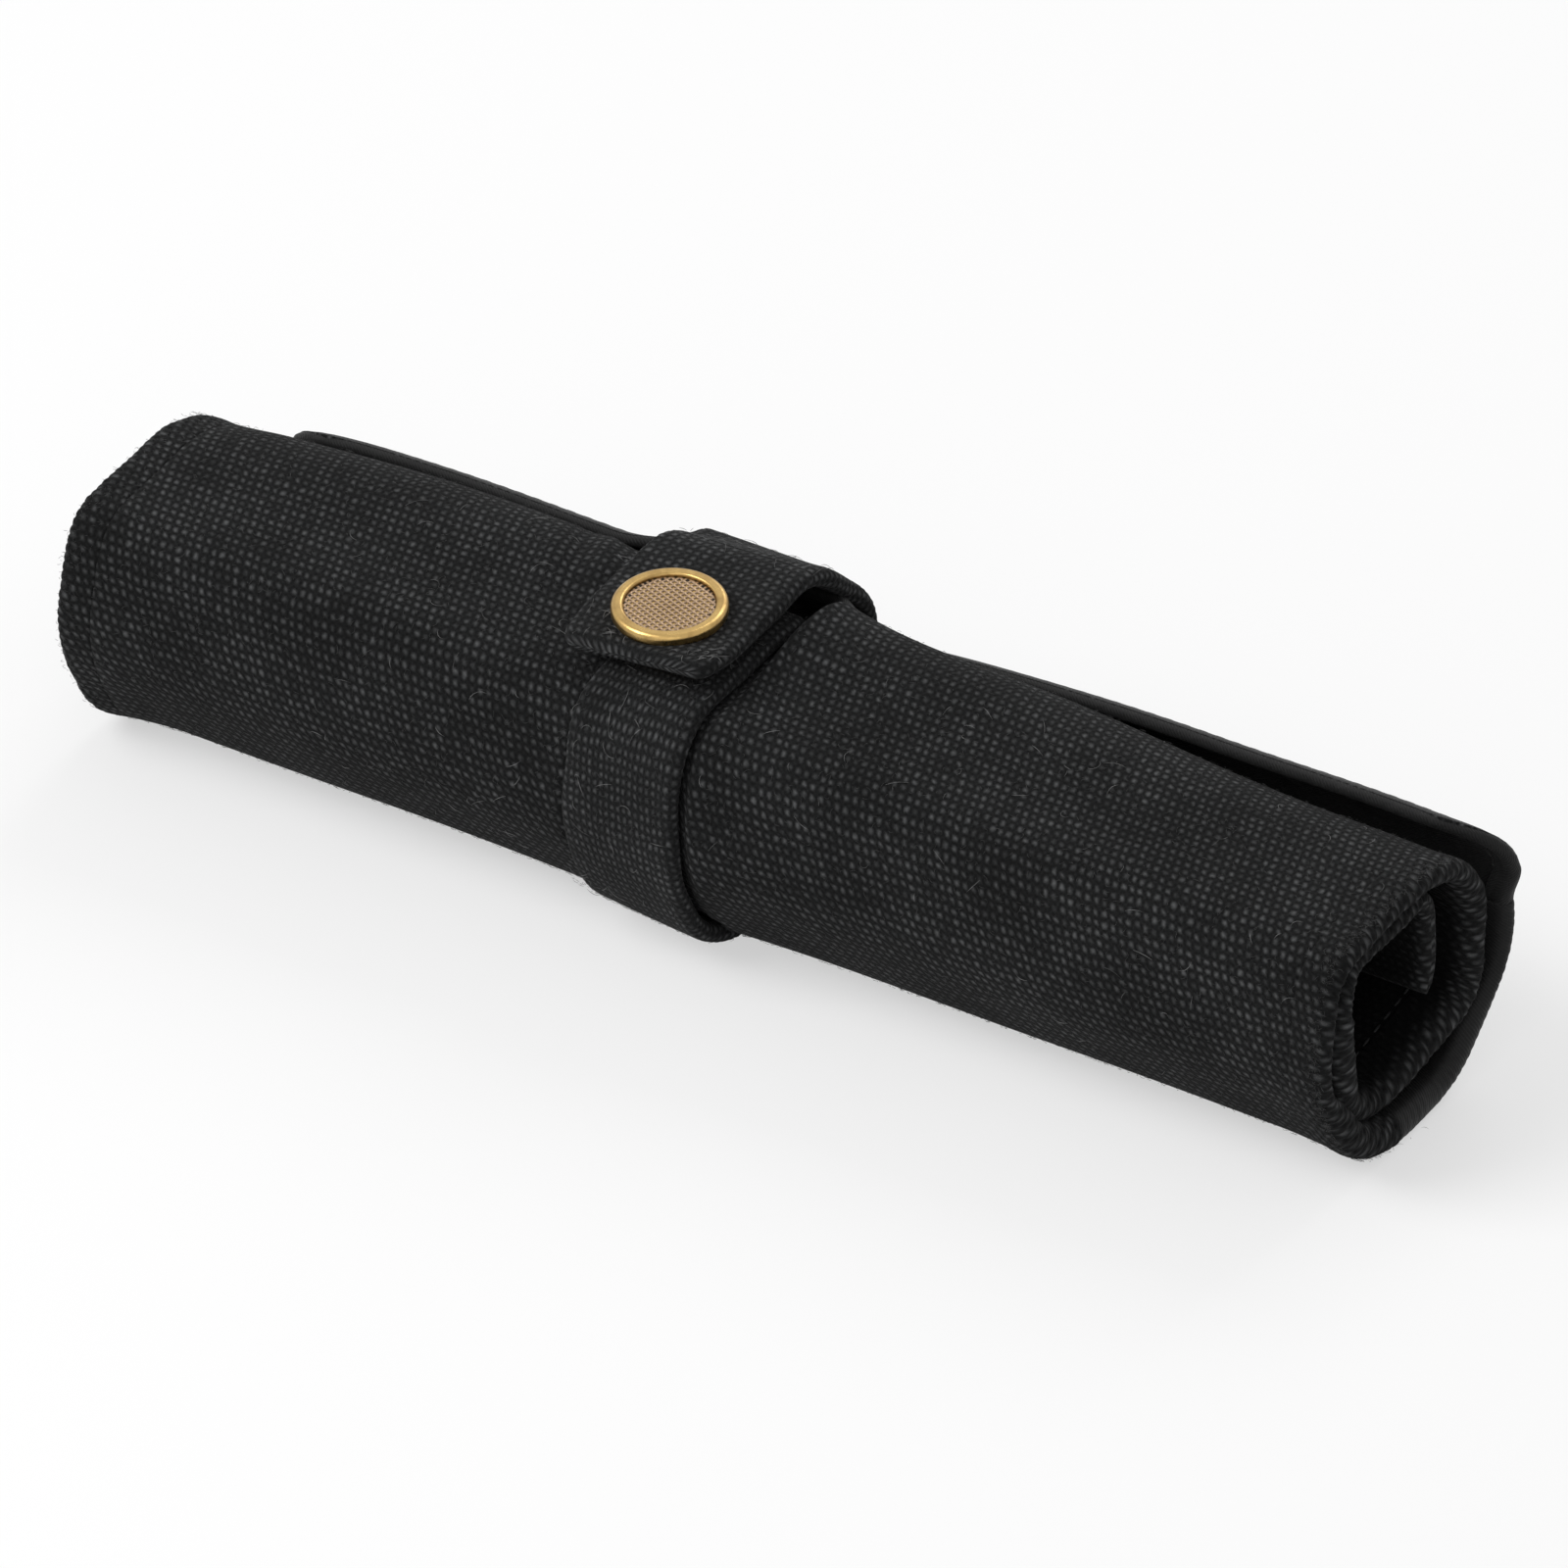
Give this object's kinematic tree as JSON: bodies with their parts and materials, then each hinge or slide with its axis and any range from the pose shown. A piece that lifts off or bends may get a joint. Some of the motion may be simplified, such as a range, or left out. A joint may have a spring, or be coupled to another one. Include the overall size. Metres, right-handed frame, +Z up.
{
  "type": "watch roll",
  "caption": "Rolled black canvas watch roll with padded, lined layers, a free back flap and a wrap-round strap closed by a press stud.",
  "frame": {"origin": "on the flat underside of the roll, half way along it, under the middle of the section", "axes": "+X along the roll towards its near end, +Z up, the front with the strap's tab faces -Y"},
  "size_m": [0.2175, 0.057, 0.0524],
  "materials": {
    "canvas": "heavy plain-weave cotton canvas, black, matt",
    "strap_canvas": "heavy plain-weave cotton canvas folded double, black, matt",
    "lining": "smooth black lining cloth with a slight sheen",
    "padding": "soft felted padding, dark grey",
    "thread": "black sewing thread",
    "stiffener": "thin stiff backing washer",
    "snap_brass": "plain antique brass",
    "cap_brass": "antique brass, polished rounded rim",
    "mesh_brass": "antique brass stamped with a fine square mesh",
    "spring_steel": "spring wire"
  },
  "bodies": {
    "roll": {"outer_canvas": "canvas", "padding": "padding", "lining": "lining", "pocket_band": "canvas", "near_hem": "canvas", "far_hem": "canvas", "hem_seams": "thread", "pocket_seams": "thread", "strap_base": "strap_canvas", "base_tack": "thread", "base_stiffener": "stiffener", "snap_stud": "snap_brass", "stud_post": "snap_brass"},
    "flap": {"flap_canvas": "canvas", "flap_lining": "lining", "flap_edge": "lining", "flap_seam": "thread", "strap_back": "strap_canvas", "back_tack": "thread"},
    "strap_loop": {"strap_loop": "strap_canvas"},
    "strap_tab": {"strap_tab": "strap_canvas", "tab_stiffener": "stiffener", "snap_socket": "snap_brass", "socket_spring": "spring_steel", "cap_post": "snap_brass", "snap_cap": "cap_brass", "cap_mesh": "mesh_brass"},
    "inner_end": {"inner_end_canvas": "canvas", "inner_end_lining": "lining", "inner_end_hem": "canvas"}
  },
  "joints": [
    {"name": "flap_lift", "type": "hinge", "parent": "roll", "child": "flap", "pos_m": [0, 0.02832, 0.0262], "axis": [-1, 0, 0], "range_deg": [0, 21]},
    {"name": "strap_fold", "type": "hinge", "parent": "flap", "child": "strap_loop", "pos_m": [0, 0.02789, 0.03291], "axis": [-1, 0, 0], "range_deg": [0, 56]},
    {"name": "tab_peel", "type": "hinge", "parent": "strap_loop", "child": "strap_tab", "pos_m": [0, 0.0058, 0.05064], "axis": [-1, 0, 0], "range_deg": [0, 70]},
    {"name": "inner_end_swing", "type": "hinge", "parent": "roll", "child": "inner_end", "pos_m": [0, 0.00532, 0.03768], "axis": [1, 0, 0], "range_deg": [-5, 15], "stiffness_Nm_per_rad": 0.05}
  ],
  "couplings": [
    {"joint": "strap_fold", "follows": "tab_peel", "ratio": 0.8},
    {"joint": "flap_lift", "follows": "tab_peel", "ratio": 0.3}
  ]
}
